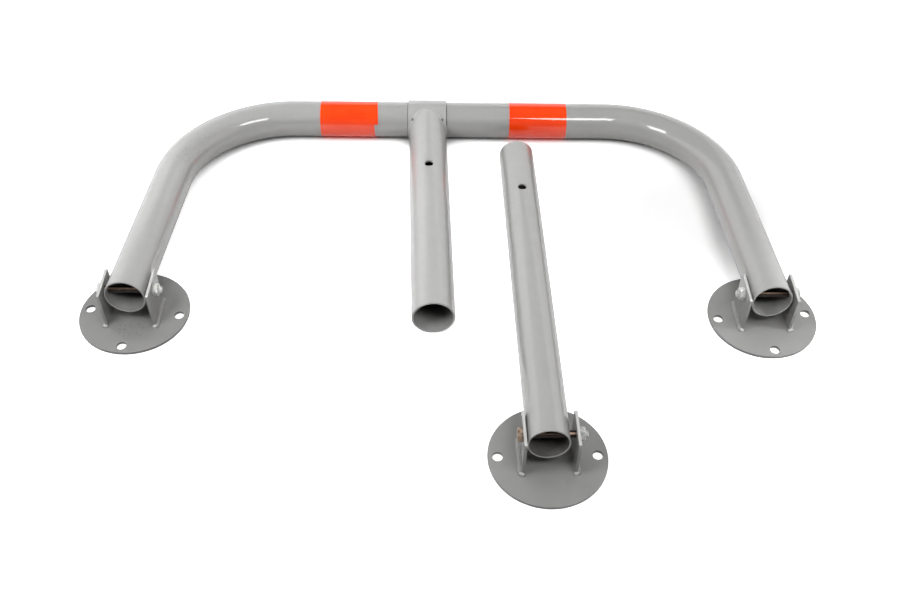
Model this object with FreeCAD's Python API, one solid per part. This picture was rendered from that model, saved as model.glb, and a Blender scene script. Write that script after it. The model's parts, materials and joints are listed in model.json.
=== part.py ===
# Folding parking barrier, laid out flat on the ground with its strut pulled apart.
# A bent tube hoop hinges on two round base plates, a tee swivels on the hoop's crossbar,
# and a strut post, which telescopes into the tee's sleeve, hinges on a third base plate.
import FreeCAD
import Part
import math
import os

Vec = FreeCAD.Vector
X_AXIS = Vec(1, 0, 0)
Y_AXIS = Vec(0, 1, 0)
Z_AXIS = Vec(0, 0, 1)
ORIGIN = Vec(0, 0, 0)

# Hoop: one tube with two bends, hinged at the feet of its legs (mm, degrees)
HOOP_OD = 60.0
HOOP_WALL = 2.5
LEG_SPACING = 937.0
HINGE_TO_BAR = 440.0
LEG_SPLAY = 3.4
BEND_RADIUS = 185.0
TUBE_OVERHANG = 17.0

# Reflective bands wound on the crossbar
BAND_LENGTH = 100.0
BAND_THICKNESS = 0.4
BAND_CLEARANCE = 0.2
LEFT_BAND_X = -175.0
RIGHT_BAND_X = 153.0

# Tee: a ring that turns on the crossbar, with the strut's sleeve welded to it
RING_LENGTH = 66.0
RING_WALL = 3.0
RING_CLEARANCE = 0.5
RING_X = -40.0
SLEEVE_LENGTH = 474.0
SLEEVE_WALL = 3.0
SLEEVE_SKEW = 1.9
TEE_WELD = 4.0
TEE_WELD_CROWN = 0.8

# Strut post, which slides in the sleeve and is held there through the lock holes
POST_OD = 57.0
POST_WALL = 2.5
TELESCOPE_CLEARANCE = 0.5
POST_END_GAP = 2.0
BOLT_TO_LOCK = 482.0
BAR_TO_LOCK = 160.0
LOCK_HOLE_D = 14.0

# Base plates with their pairs of lugs
PLATE_D = 161.0
PLATE_THICKNESS = 4.0
ANCHOR_CIRCLE_D = 134.0
ANCHOR_HOLE_D = 14.0
OUTER_PLATE_TURN = 5.0
CENTRE_X = 130.0
CENTRE_DISTANCE = 256.0
CENTRE_TURN = 1.3
HINGE_HEIGHT = 52.0
LUG_WIDTH = 58.0
LUG_THICKNESS = 4.0
LUG_ABOVE_BOLT = 14.0
LUG_CORNER_RADIUS = 3.0
LUG_CLEARANCE = 0.8
LUG_WELD = 6.0
LUG_WELD_TIP = 2.0

# Pivot bolts and nuts
BOLT_D = 10.0
PIVOT_CLEARANCE = 0.3
THREAD_CLEARANCE = 0.05
HEX_ACROSS_FLATS = 17.0
HEX_CHAMFER = 1.2
HEAD_HEIGHT = 6.5
NUT_HEIGHT = 8.0
THREAD_END = 4.0
THREAD_CHAMFER = 1.0

# Values worked out from the sizes above
splay = math.radians(LEG_SPLAY)
skew = math.radians(SLEEVE_SKEW)
hoop_r = HOOP_OD / 2
ring_bore_r = hoop_r + RING_CLEARANCE
ring_r = ring_bore_r + RING_WALL
post_r = POST_OD / 2
sleeve_bore_r = post_r + TELESCOPE_CLEARANCE
sleeve_r = sleeve_bore_r + SLEEVE_WALL
plate_r = PLATE_D / 2
bolt_r = BOLT_D / 2
pivot_hole_r = bolt_r + PIVOT_CLEARANCE
lug_reach = math.hypot(LUG_WIDTH / 2, LUG_ABOVE_BOLT)
lug_inside = hoop_r / math.cos(splay) + lug_reach * math.tan(splay) + LUG_CLEARANCE
lug_outside = lug_inside + LUG_THICKNESS
post_shift = post_r + LUG_CLEARANCE - lug_inside
post_past_lock = BAR_TO_LOCK - ring_r - POST_END_GAP
post_reach = BOLT_TO_LOCK + post_past_lock

# The ring rests on the ground, so the hoop slopes down from its hinges to the crossbar
bar_z = ring_r
hoop_slope = math.asin((HINGE_HEIGHT - bar_z) / HINGE_TO_BAR)
sleeve_slope = math.asin((ring_r - sleeve_r) / SLEEVE_LENGTH)
post_slope = math.asin(HINGE_HEIGHT / math.hypot(post_reach, post_r)) - math.atan(post_r / post_reach)

# The origin is on the ground, in the middle of the whole layout
bar_from_hinge = HINGE_TO_BAR * math.cos(hoop_slope)
layout_depth = plate_r + CENTRE_DISTANCE + bar_from_hinge + ring_r
centre_y = plate_r - layout_depth / 2
hinge_y = centre_y + CENTRE_DISTANCE
bar_y = hinge_y + bar_from_hinge


def rod(radius, start, direction, length):
    return Part.makeCylinder(radius, length, start, direction)


def cross_hole(radius, centre, direction, reach):
    # A straight hole through both walls of a tube whose centre is given
    return rod(radius, centre - direction * reach, direction, 2 * reach)


def straight_tube(outer_r, inner_r, start, direction, length):
    return rod(outer_r, start, direction, length).cut(rod(inner_r, start, direction, length))


def turned(shape, axis, degrees):
    shape.rotate(ORIGIN, axis, degrees)
    return shape


def moved(shape, offset):
    shape.translate(offset)
    return shape


def hoop_path():
    # Centreline in the hoop's own plane, with the hinge axis along X through the origin
    leg = Vec(-math.sin(splay), math.cos(splay), 0)
    bolt = Vec(LEG_SPACING / 2, 0, 0)
    corner = bolt + leg * (HINGE_TO_BAR / math.cos(splay))
    bend_angle = math.pi / 2 - splay
    tangent = BEND_RADIUS * math.tan(bend_angle / 2)
    foot = bolt - leg * TUBE_OVERHANG
    bend_start = corner - leg * tangent
    bend_end = corner - X_AXIS * tangent
    inward = Vec(-leg.y, leg.x, 0)
    bend_centre = bend_start + inward * BEND_RADIUS
    bend_middle = bend_centre + (corner - bend_centre).normalize() * BEND_RADIUS

    def mirrored(point):
        return Vec(-point.x, point.y, point.z)

    curves = [
        Part.LineSegment(foot, bend_start),
        Part.Arc(bend_start, bend_middle, bend_end),
        Part.LineSegment(bend_end, mirrored(bend_end)),
        Part.Arc(mirrored(bend_end), mirrored(bend_middle), mirrored(bend_start)),
        Part.LineSegment(mirrored(bend_start), mirrored(foot)),
    ]
    return Part.Wire([curve.toShape() for curve in curves]), foot, leg


def hoop_tube():
    path, foot, leg = hoop_path()

    def swept(radius):
        section = Part.Wire([Part.makeCircle(radius, foot, leg)])
        return path.makePipeShell([section], True, False)

    tube = swept(hoop_r).cut(swept(hoop_r - HOOP_WALL))
    for side in (-1, 1):
        bolt = Vec(side * LEG_SPACING / 2, 0, 0)
        tube = tube.cut(cross_hole(pivot_hole_r, bolt, X_AXIS, HOOP_OD))
    tube = turned(tube, X_AXIS, -math.degrees(hoop_slope))
    return moved(tube, Vec(0, hinge_y, HINGE_HEIGHT))


def reflective_band(centre_x):
    start = Vec(centre_x - BAND_LENGTH / 2, bar_y, bar_z)
    inner_r = hoop_r + BAND_CLEARANCE
    return straight_tube(inner_r + BAND_THICKNESS, inner_r, start, X_AXIS, BAND_LENGTH)


def placed_on_bar(shape):
    # From the tee's own frame, with its ring at the origin, to its place on the crossbar
    shape = turned(shape, X_AXIS, math.degrees(sleeve_slope))
    return moved(shape, Vec(RING_X, bar_y, bar_z))


def ring_rod(radius):
    return rod(radius, Vec(-RING_LENGTH / 2, 0, 0), X_AXIS, RING_LENGTH)


def sleeve_axis():
    return Vec(math.sin(skew), -math.cos(skew), 0)


def swivel_ring():
    return placed_on_bar(ring_rod(ring_r).cut(ring_rod(ring_bore_r)))


def strut_sleeve():
    # The end at the ring is coped to the ring's round wall
    axis = sleeve_axis()
    sleeve = straight_tube(sleeve_r, sleeve_bore_r, ORIGIN, axis, SLEEVE_LENGTH)
    cope = cross_hole(ring_r, ORIGIN, X_AXIS, RING_LENGTH)
    lock_hole = cross_hole(LOCK_HOLE_D / 2, axis * BAR_TO_LOCK, Z_AXIS, sleeve_r * 2)
    return placed_on_bar(sleeve.cut(cope).cut(lock_hole))


def sleeve_weld():
    # A bead round the joint of sleeve and ring: wide in the corners at the sides, thin over the top
    axis = sleeve_axis()
    oval = Part.Ellipse(X_AXIS * (sleeve_r + TEE_WELD), Z_AXIS * (sleeve_r + TEE_WELD_CROWN), ORIGIN)
    outer = Part.Face(Part.Wire([oval.toShape()])).extrude(axis * BAR_TO_LOCK)
    bead = outer.common(ring_rod(ring_r + TEE_WELD))
    bead = bead.cut(ring_rod(ring_r)).cut(rod(sleeve_r, ORIGIN, axis, BAR_TO_LOCK))
    return placed_on_bar(bead)


def strut_post():
    # Built along +Y with the pivot at the origin, then laid down until its far end is on the ground
    start = Vec(post_shift, -TUBE_OVERHANG, 0)
    post = straight_tube(post_r, post_r - POST_WALL, start, Y_AXIS, TUBE_OVERHANG + post_reach)
    post = post.cut(cross_hole(pivot_hole_r, ORIGIN, X_AXIS, POST_OD))
    post = post.cut(cross_hole(LOCK_HOLE_D / 2, Vec(post_shift, BOLT_TO_LOCK, 0), Z_AXIS, POST_OD))
    post = turned(post, X_AXIS, -math.degrees(post_slope))
    post = turned(post, Z_AXIS, CENTRE_TURN)
    return moved(post, Vec(CENTRE_X, centre_y, HINGE_HEIGHT))


def base_plate(hole_angles):
    plate = rod(plate_r, ORIGIN, Z_AXIS, PLATE_THICKNESS)
    for angle in hole_angles:
        spot = Vec(ANCHOR_CIRCLE_D / 2, 0, 0)
        hole = moved(rod(ANCHOR_HOLE_D / 2, ORIGIN, Z_AXIS, PLATE_THICKNESS), spot)
        plate = plate.cut(turned(hole, Z_AXIS, angle))
    return plate


def lug(side):
    # An upright plate on the base plate, drilled for the pivot bolt, with rounded top corners
    half = LUG_WIDTH / 2
    round_r = LUG_CORNER_RADIUS
    near_x = side * lug_inside
    top_z = HINGE_HEIGHT + LUG_ABOVE_BOLT
    back = Vec(near_x, half, PLATE_THICKNESS)
    front = Vec(near_x, -half, PLATE_THICKNESS)
    outline = [Part.LineSegment(front, back)]
    corner_tip = round_r * (1 - math.sqrt(0.5))
    back_side = Vec(near_x, half, top_z - round_r)
    back_top = Vec(near_x, half - round_r, top_z)
    front_top = Vec(near_x, round_r - half, top_z)
    front_side = Vec(near_x, -half, top_z - round_r)
    outline.append(Part.LineSegment(back, back_side))
    outline.append(Part.Arc(back_side, Vec(near_x, half - corner_tip, top_z - corner_tip), back_top))
    outline.append(Part.LineSegment(back_top, front_top))
    outline.append(Part.Arc(front_top, Vec(near_x, corner_tip - half, top_z - corner_tip), front_side))
    outline.append(Part.LineSegment(front_side, front))
    face = Part.Face(Part.Wire([curve.toShape() for curve in outline]))
    plate = face.extrude(X_AXIS * (side * LUG_THICKNESS))
    return plate.cut(cross_hole(pivot_hole_r, Vec(0, 0, HINGE_HEIGHT), X_AXIS, 2 * lug_outside))


def lug_weld(side):
    # A round bead along the outside foot of a lug, tapered at both ends
    foot_x = side * lug_outside
    run = LUG_WIDTH / 2 - LUG_WELD
    bead = rod(LUG_WELD, Vec(foot_x, -run, PLATE_THICKNESS), Y_AXIS, 2 * run)
    for way in (-1, 1):
        end = Vec(foot_x, way * run, PLATE_THICKNESS)
        bead = bead.fuse(Part.makeCone(LUG_WELD, LUG_WELD_TIP, LUG_WELD, end, Y_AXIS * way))
    corner = Vec(min(foot_x, foot_x + side * LUG_WELD), -LUG_WIDTH / 2, PLATE_THICKNESS)
    return bead.common(Part.makeBox(LUG_WELD, LUG_WIDTH, LUG_WELD, corner)).removeSplitter()


def hex_block(height):
    # A hexagon along +X from the origin, with its corners turned off at the far end
    corner_r = HEX_ACROSS_FLATS / math.sqrt(3)
    angles = [math.pi / 3 * step for step in range(7)]
    corners = [Vec(0, corner_r * math.cos(angle), corner_r * math.sin(angle)) for angle in angles]
    block = Part.Face(Part.makePolygon(corners)).extrude(X_AXIS * height)
    turning = rod(corner_r + HEX_CHAMFER, ORIGIN, X_AXIS, height)
    rim = [edge for edge in turning.Edges if edge.BoundBox.XMin > height / 2]
    return block.common(turning.makeChamfer(2 * HEX_CHAMFER, rim))


def pivot_bolt(nut_side):
    # Head against one lug, thread end past the nut on the other; built for a nut on the +X side
    grip = lug_outside * 2
    shank_length = grip + NUT_HEIGHT + THREAD_END
    shank = rod(bolt_r, Vec(-lug_outside, 0, 0), X_AXIS, shank_length)
    tip = [edge for edge in shank.Edges if edge.BoundBox.XMin > lug_outside]
    shank = shank.makeChamfer(THREAD_CHAMFER, tip)
    head = turned(hex_block(HEAD_HEIGHT), Z_AXIS, 180)
    head = moved(head, Vec(-lug_outside, 0, 0))
    return finished_fastener(shank.fuse(head).removeSplitter(), nut_side)


def pivot_nut(nut_side):
    nut = hex_block(NUT_HEIGHT)
    nut = nut.cut(rod(bolt_r + THREAD_CLEARANCE, ORIGIN, X_AXIS, NUT_HEIGHT))
    return finished_fastener(moved(nut, Vec(lug_outside, 0, 0)), nut_side)


def finished_fastener(shape, nut_side):
    if nut_side < 0:
        shape = turned(shape, Z_AXIS, 180)
    return moved(shape, Vec(0, 0, HINGE_HEIGHT))


def base(lug_names, nut_side, plate_turn, base_turn, hole_angles, position):
    # Built in its own frame, with the plate's centre on the ground at the origin
    left_lug_name, right_lug_name = lug_names
    pieces = {
        "base_plate": turned(base_plate(hole_angles), Z_AXIS, plate_turn),
        left_lug_name: lug(-1),
        right_lug_name: lug(1),
        "lug_welds": Part.makeCompound([lug_weld(-1), lug_weld(1)]),
        "pivot_bolts": pivot_bolt(nut_side),
        "pivot_nuts": pivot_nut(nut_side),
    }
    return {name: moved(turned(shape, Z_AXIS, base_turn), position) for name, shape in pieces.items()}


def base_nodes():
    # Plates and lugs are nodes of their own; like welds, bolts and nuts share a node
    four_holes = (0, 90, 180, 270)
    two_holes = (0, 180)
    left_spot = Vec(-LEG_SPACING / 2, hinge_y, 0)
    right_spot = Vec(LEG_SPACING / 2, hinge_y, 0)
    centre_spot = Vec(CENTRE_X, centre_y, 0)
    bases = {
        "left": base(("outer_lug", "inner_lug"), 1, -OUTER_PLATE_TURN, 0, four_holes, left_spot),
        "right": base(("inner_lug", "outer_lug"), -1, OUTER_PLATE_TURN, 0, four_holes, right_spot),
        "centre": base(("left_lug", "right_lug"), 1, 0, CENTRE_TURN, two_holes, centre_spot),
    }
    shared = ("lug_welds", "pivot_bolts", "pivot_nuts")
    nodes = {}
    for side, pieces in bases.items():
        nodes.update({side + "_" + name: shape for name, shape in pieces.items() if name not in shared})
    for name in shared:
        solids = [solid for pieces in bases.values() for solid in pieces[name].Solids]
        nodes[name] = Part.makeCompound(solids)
    return nodes


def all_pieces():
    pieces = base_nodes()
    pieces["hoop_tube"] = hoop_tube()
    bands = [reflective_band(LEFT_BAND_X), reflective_band(RIGHT_BAND_X)]
    pieces["reflective_bands"] = Part.makeCompound(bands)
    pieces["swivel_ring"] = swivel_ring()
    pieces["strut_sleeve"] = strut_sleeve()
    pieces["sleeve_weld"] = sleeve_weld()
    pieces["strut_post"] = strut_post()
    return pieces


os.makedirs("parts", exist_ok=True)
for node_name, node_shape in all_pieces().items():
    node_shape.exportStep(os.path.join("parts", node_name + ".step"))
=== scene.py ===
# Folding parking barrier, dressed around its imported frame: hoop, tee, strut post and three bases.
import bmesh
import bpy
import json
import math
import random
from collections import namedtuple

from bpy.props import FloatProperty, FloatVectorProperty, PointerProperty
from mathutils import Matrix, Vector


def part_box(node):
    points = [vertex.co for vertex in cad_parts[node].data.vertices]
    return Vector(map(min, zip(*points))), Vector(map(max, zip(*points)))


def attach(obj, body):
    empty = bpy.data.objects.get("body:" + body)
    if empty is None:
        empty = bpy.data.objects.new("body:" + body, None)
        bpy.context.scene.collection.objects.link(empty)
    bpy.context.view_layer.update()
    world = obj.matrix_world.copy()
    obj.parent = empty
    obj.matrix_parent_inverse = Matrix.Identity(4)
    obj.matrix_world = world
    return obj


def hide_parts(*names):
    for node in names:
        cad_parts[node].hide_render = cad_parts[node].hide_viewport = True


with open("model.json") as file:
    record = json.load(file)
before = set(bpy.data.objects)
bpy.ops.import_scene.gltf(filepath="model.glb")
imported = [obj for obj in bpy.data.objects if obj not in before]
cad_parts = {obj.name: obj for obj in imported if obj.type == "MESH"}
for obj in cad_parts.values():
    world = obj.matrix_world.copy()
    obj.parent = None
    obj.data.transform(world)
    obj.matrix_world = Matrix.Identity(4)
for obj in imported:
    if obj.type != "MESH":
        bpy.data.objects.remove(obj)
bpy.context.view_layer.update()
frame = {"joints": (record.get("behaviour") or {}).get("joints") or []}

bl_info = {
    "name": "Folding parking barrier",
    "version": (1, 0, 0),
    "blender": (4, 5, 0),
    "location": "View3D > Sidebar > Barrier",
    "description": "Models the tubes, bases, welds, fasteners and tape of a parking barrier",
    "category": "Add Mesh",
}

MM = 0.001
X_AXIS = Vector((1, 0, 0))
Y_AXIS = Vector((0, 1, 0))
Z_AXIS = Vector((0, 0, 1))


def middle(node):
    low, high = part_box(node)
    return (low + high) / 2


def extent(node):
    low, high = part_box(node)
    return high - low


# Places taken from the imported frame
JOINTS = {joint["name"]: joint for joint in frame["joints"]}
HINGE = Vector(JOINTS["hoop_fold"]["pos_m"])
BAR = Vector(JOINTS["tee_swivel"]["pos_m"])
POST_PIVOT = Vector(JOINTS["post_fold"]["pos_m"])
POST_AXIS = Vector(JOINTS["post_fold"]["axis"])
CENTRE_TURN = math.atan2(POST_AXIS.y, POST_AXIS.x)
LEFT_SPOT = Vector((middle("left_base_plate").x, HINGE.y, 0))
RIGHT_SPOT = Vector((middle("right_base_plate").x, HINGE.y, 0))
CENTRE_SPOT = Vector((POST_PIVOT.x, POST_PIVOT.y, 0))
LEG_SPACING = RIGHT_SPOT.x - LEFT_SPOT.x
HINGE_TO_BAR = math.hypot(BAR.y - HINGE.y, HINGE.z - BAR.z)
HOOP_SLOPE = math.asin((HINGE.z - BAR.z) / HINGE_TO_BAR)
PLATE_SIZE = extent("left_base_plate")
LUG_SIZE = extent("left_inner_lug")
LUG_MIDDLE = middle("left_inner_lug") - LEFT_SPOT
LUG_OUTSIDE = LUG_MIDDLE.x + LUG_SIZE.x / 2
RING_SIZE = extent("swivel_ring")
RING_RADIUS = RING_SIZE.z / 2

# A base's plate takes its share of the plate turn, and its nut sits on one side along X
Base = namedtuple("Base", "spot turn plate_share hole_count nut_side")
BASES = {
    "left": Base(LEFT_SPOT, 0.0, -1, 4, 1),
    "right": Base(RIGHT_SPOT, 0.0, 1, 4, -1),
    "centre": Base(CENTRE_SPOT, CENTRE_TURN, 0, 2, 1),
}

# Fineness of the meshes
TUBE_SIDES = 96
BEND_STEPS = 40
HOLE_SIDES = 40
PLATE_SIDES = 144
SHANK_SIDES = 48
TURNING_SIDES = 64
THREAD_SIDES = 36
TAPE_STEPS = 120
TAPE_LAP_STEPS = 8
TAPE_CUTS = 9
PUDDLE_SIDES = 16
PUDDLE_RINGS = 10
TEE_WELD_STEPS = 84
LUG_WELD_STEPS = 17
TEE_WELD_VOXEL = 0.7 * MM
LUG_WELD_VOXEL = 0.8 * MM
WALL_SIDES = 96
MERGE = 1e-6
# Loops this far from a rim, and on both sides of a lock hole, keep the long faces flat
HOLD = 2 * MM
LOCK_ROOM = 0.03
SMOOTH_ANGLE = math.radians(35)
SHARP_ANGLE = math.radians(60)


def size(name, description, default):
    return FloatProperty(
        name=name, description=description, default=default, precision=4, unit="LENGTH"
    )


def angle(name, description, degrees):
    return FloatProperty(
        name=name, description=description, default=math.radians(degrees), unit="ROTATION"
    )


def colour(name, description, default):
    return FloatVectorProperty(
        name=name, description=description, default=default, subtype="COLOR", min=0.0, max=1.0
    )


def spot(name, description, default):
    return FloatVectorProperty(
        name=name, description=description, default=default, subtype="TRANSLATION", unit="LENGTH"
    )


def watts(name, default):
    return FloatProperty(
        name=name, description="Power of the lamp", default=default, min=0.0, unit="POWER"
    )


class BarrierSizes(bpy.types.PropertyGroup):
    """Sizes of the pieces"""

    hoop_od: size("Hoop tube", "Outside diameter", 0.060)
    hoop_wall: size("Hoop wall", "Wall thickness", 0.0025)
    hoop_splay: angle("Leg splay", "How far each leg leans outwards towards its foot", 3.4)
    bend_radius: size("Bend radius", "Radius of the hoop's bends at the middle of the tube", 0.185)
    overhang: size("Tube overhang", "How far a tube runs past its pivot bolt", 0.017)
    rim_round: size("Rim rounding", "Rounding of the cut tube ends", 0.0007)
    ring_wall: size("Ring wall", "Wall thickness", 0.003)
    sleeve_od: size("Sleeve tube", "Outside diameter", 0.064)
    sleeve_wall: size("Sleeve wall", "Wall thickness", 0.003)
    sleeve_length: size("Sleeve length", "From the crossbar to the sleeve's mouth", 0.474)
    sleeve_skew: angle("Sleeve skew", "How far the sleeve turns from square to the crossbar", 1.9)
    bar_to_lock: size("Bar to lock hole", "From the crossbar to the sleeve's lock hole", 0.160)
    lock_hole: size("Lock hole", "Diameter of the holes", 0.014)
    post_od: size("Post tube", "Outside diameter", 0.057)
    post_wall: size("Post wall", "Wall thickness", 0.0025)
    post_reach: size("Post reach", "From the pivot bolt to the post's far end", 0.6065)
    post_to_lock: size("Bolt to lock hole", "From the pivot bolt to the post's lock hole", 0.482)
    post_shift: size("Post side gap", "How far the post sits off the middle of its base", 0.003466)
    pivot_hole: size("Pivot hole", "Diameter of the holes", 0.0106)
    anchor_circle: size("Anchor circle", "Diameter through the holes", 0.134)
    anchor_hole: size("Anchor hole", "Diameter of the holes", 0.014)
    plate_turn: angle("Plate turn", "How far the outer plates' holes are turned", 5.0)
    plate_round: size("Plate edge", "Rounding of the painted plate edges", 0.0006)
    lug_corner: size("Lug corner", "Rounding of a lug's top corners", 0.003)
    lug_round: size("Lug edge", "Rounding of the painted lug edges", 0.0004)
    weld_size: size("Weld size", "Radius of the bead at a lug's foot", 0.006)
    bolt_od: size("Bolt", "Outside diameter", 0.010)
    hex_flats: size("Hexagon", "Size across flats of heads and nuts", 0.017)
    hex_chamfer: size("Hexagon chamfer", "How far the hexagons' corners are turned off", 0.0012)
    head_height: size("Head height", "Height of a bolt head", 0.0065)
    nut_height: size("Nut height", "Height of a nut", 0.008)
    thread_end: size("Thread end", "How far the thread stands out of the nut", 0.004)
    thread_pitch: size("Thread pitch", "Rise in one turn", 0.0015)
    band_width: size("Band width", "Width of the tape", 0.100)
    tape_thickness: size("Tape thickness", "Thickness of the tape", 0.0003)
    left_band_x: size("Left band", "Middle of the left band on the crossbar", -0.175)
    right_band_x: size("Right band", "Middle of the right band on the crossbar", 0.153)


class BarrierColours(bpy.types.PropertyGroup):
    """Colours of the finishes"""

    tube_paint: colour("Tube paint", "Light grey paint on the tubes", (0.40, 0.40, 0.392))
    # Painted shade: plates and lugs take a darker copy of the tube paint for the shade they lie in
    base_paint_shaded: colour("Shaded base paint", "Grey paint on plates and lugs", (0.28, 0.28, 0.274))
    # Painted light: the tee takes a paler copy of the tube paint for the brighter light on it
    sleeve_paint_lit: colour("Lit sleeve paint", "Slightly paler paint on the tee", (0.45, 0.45, 0.444))
    # Partly painted shade: the bore's near black also stands in for the shade deep in the tubes
    bore: colour("Bore", "Dark mill scale, deepened as painted shade, inside the tubes", (0.030, 0.028, 0.026))
    # Partly painted light: the pale mouths also stand in for the light that enters them
    bore_mist_and_light: colour("Bore mist and light", "Thin paint and painted light just inside the mouths", (0.36, 0.36, 0.355))
    tape: colour("Tape", "Reflective tape", (0.88, 0.055, 0.006))
    # Painted light: the tape glows to stand in for the light its beads send back
    tape_glow: colour("Tape glow", "Painted glow for the light that the tape's beads send back", (0.20, 0.006, 0.0))
    # Painted shade: a dark line beside each end of the ring stands in for the shadow in its gap
    seam_shade: colour("Seam shade", "Dark seam beside the ring", (0.06, 0.058, 0.055))
    # Partly painted shade: the anchor holes' bare walls are near black for the shade inside the
    # holes
    hole_wall_shade: colour("Hole wall shade", "Bare cut metal inside the anchor holes, darkened as painted shade", (0.040, 0.039, 0.038))
    # Painted highlight: the lugs' upward faces and the beads' front ends are lightened for the
    # light they catch
    painted_highlight: colour("Painted highlight", "Painted highlight on top edges and weld ends", (0.54, 0.54, 0.53))
    # Partly painted shade: the shanks' near black brown also stands in for the shade inside the
    # tube
    shank: colour("Shank", "Oiled brown on the bolts' shanks, darkened as painted shade", (0.032, 0.022, 0.016))
    # Painted highlight: a lighter streak on the shanks' upper front stands in for the light they
    # catch
    shank_highlight: colour("Shank highlight", "Painted highlight along the bolts' shanks", (0.42, 0.29, 0.21))
    zinc: colour("Zinc", "Bright zinc on the nuts", (0.86, 0.86, 0.84))
    warm_zinc: colour("Yellowed zinc", "Warm tint on the bolts", (0.58, 0.44, 0.33))
    floor: colour("Floor", "Pale floor as the eye sees it", (0.93, 0.93, 0.93))
    floor_bounce: colour("Floor bounce", "Light thrown back on the barrier", (0.33, 0.325, 0.315))


class BarrierStage(bpy.types.PropertyGroup):
    """Camera, lamps, floor and walls"""

    camera_spot: spot("Camera", "Where the camera stands", (-0.012157, -1.130866, 1.147586))
    camera_yaw: angle("Camera yaw", "Turn of the camera to the right of +Y", 1.4535)
    camera_pitch: angle("Camera pitch", "Tilt of the camera above the horizon", -46.684)
    camera_roll: angle("Camera roll", "Turn of the camera about its own axis", -1.4475)
    camera_lens: FloatProperty(
        name="Lens", description="Focal length in millimetres", default=40.868, unit="CAMERA"
    )
    right_flash: spot("Right flash", "Soft box to the right of the camera", (0.72, -0.85, 1.60))
    left_flash: spot("Left flash", "Soft box to the left of the camera", (-0.90, -0.55, 1.30))
    right_side: spot("Right side lamp", "Soft box beside the right base", (1.15, -0.25, 0.75))
    left_side: spot("Left side lamp", "Soft box beside the left leg", (-1.25, 0.45, 1.00))
    ceiling: spot("Ceiling", "Large soft box overhead", (0.0, 0.75, 1.9))
    right_flash_power: watts("Right flash power", 14.5)
    left_flash_power: watts("Left flash power", 11.5)
    right_side_power: watts("Right side power", 0.34)
    left_side_power: watts("Left side power", 0.60)
    ceiling_power: watts("Ceiling power", 23.0)
    right_side_spread: angle("Right side spread", "How wide the right side lamp shines", 35.0)
    left_side_spread: angle("Left side spread", "How wide the left side lamp shines", 44.0)
    fill: colour("Fill", "Even light all round", (0.03, 0.03, 0.03))


# Hands on the mesh: picking, cutting, applying and finishing


def clear_selection():
    bpy.ops.object.select_all(action="DESELECT")


def pick(piece):
    clear_selection()
    piece.select_set(True)
    bpy.context.view_layer.objects.active = piece


def settle(piece):
    pick(piece)
    bpy.ops.object.transform_apply(location=True, rotation=True, scale=True)


def named(piece, name):
    piece.name = name
    piece.data.name = name
    settle(piece)
    return piece


def fresh(name):
    return named(bpy.context.active_object, name)


def put(piece, place, turn=0.0, tilt=0.0):
    piece.rotation_euler = (tilt, 0.0, turn)
    piece.location = place
    settle(piece)
    return piece


def copied(piece, name):
    pick(piece)
    bpy.ops.object.duplicate(linked=False)
    return fresh(name)


def removed(piece):
    pick(piece)
    bpy.ops.object.delete()


def joined(pieces, name):
    clear_selection()
    for piece in pieces:
        piece.select_set(True)
    bpy.context.view_layer.objects.active = pieces[0]
    bpy.ops.object.join()
    return fresh(name)


def modify(piece, kind, **settings):
    pick(piece)
    bpy.ops.object.modifier_add(type=kind)
    modifier = piece.modifiers[-1]
    for key, value in settings.items():
        setattr(modifier, key, value)
    bpy.ops.object.modifier_apply(modifier=modifier.name)


def editing(piece):
    pick(piece)
    bpy.ops.object.mode_set(mode="EDIT")
    bpy.ops.mesh.select_all(action="SELECT")


def done_editing():
    bpy.ops.object.mode_set(mode="OBJECT")


def choose(piece, kind, test):
    # Leaves only the points or edges selected whose places all pass the test
    bpy.ops.mesh.select_mode(type=kind)
    bpy.ops.mesh.select_all(action="DESELECT")
    shape = bmesh.from_edit_mesh(piece.data)
    for item in shape.verts if kind == "VERT" else shape.edges:
        points = [item] if kind == "VERT" else item.verts
        item.select_set(all(test(point.co) for point in points))
    shape.select_flush_mode()
    bmesh.update_edit_mesh(piece.data)


def outward(piece):
    editing(piece)
    bpy.ops.mesh.remove_doubles(threshold=MERGE)
    bpy.ops.mesh.normals_make_consistent(inside=False)
    done_editing()


def slice_off(place, normal, front=False):
    # Cuts off what lies behind a plane, or in front of it, and closes the cut
    bpy.ops.mesh.select_all(action="SELECT")
    bpy.ops.mesh.bisect(
        plane_co=place, plane_no=normal, use_fill=True, clear_inner=not front, clear_outer=front
    )


def two_slots(piece):
    piece.data.materials.append(None)
    piece.data.materials.append(None)


def toward(direction):
    return direction.to_track_quat("Z", "Y").to_euler()


def rod(name, sides, radius, start, direction, length):
    bpy.ops.mesh.primitive_cylinder_add(
        vertices=sides,
        radius=radius,
        depth=length,
        location=start + direction * (length / 2),
        rotation=toward(direction),
    )
    return fresh(name)


def combine(piece, other, operation):
    modify(piece, "BOOLEAN", object=other, operation=operation, solver="EXACT")
    removed(other)


def drill(piece, radius, place, direction, reach, sides=HOLE_SIDES):
    bit = rod("drill", sides, radius, place - direction * reach, direction, 2 * reach)
    combine(piece, bit, "DIFFERENCE")


def soften(piece, width, segments=2):
    limits = {"limit_method": "ANGLE", "angle_limit": SHARP_ANGLE}
    modify(piece, "BEVEL", width=width, segments=segments, **limits)


def finished(piece, materials, body, slot, *nodes):
    # Materials go into the piece's slots in order: a tube's outside and bore, a plate's paint
    # and hole walls, a bolt's head, shank and thread
    pick(piece)
    bpy.ops.object.shade_smooth_by_angle(angle=SMOOTH_ANGLE)
    modify(piece, "WEIGHTED_NORMAL", keep_sharp=True)
    while len(piece.data.materials) < len(materials):
        piece.data.materials.append(None)
    for index, material in enumerate(materials):
        piece.data.materials[index] = material
    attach(piece, body)
    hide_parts(*nodes)


# Tubes


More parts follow.
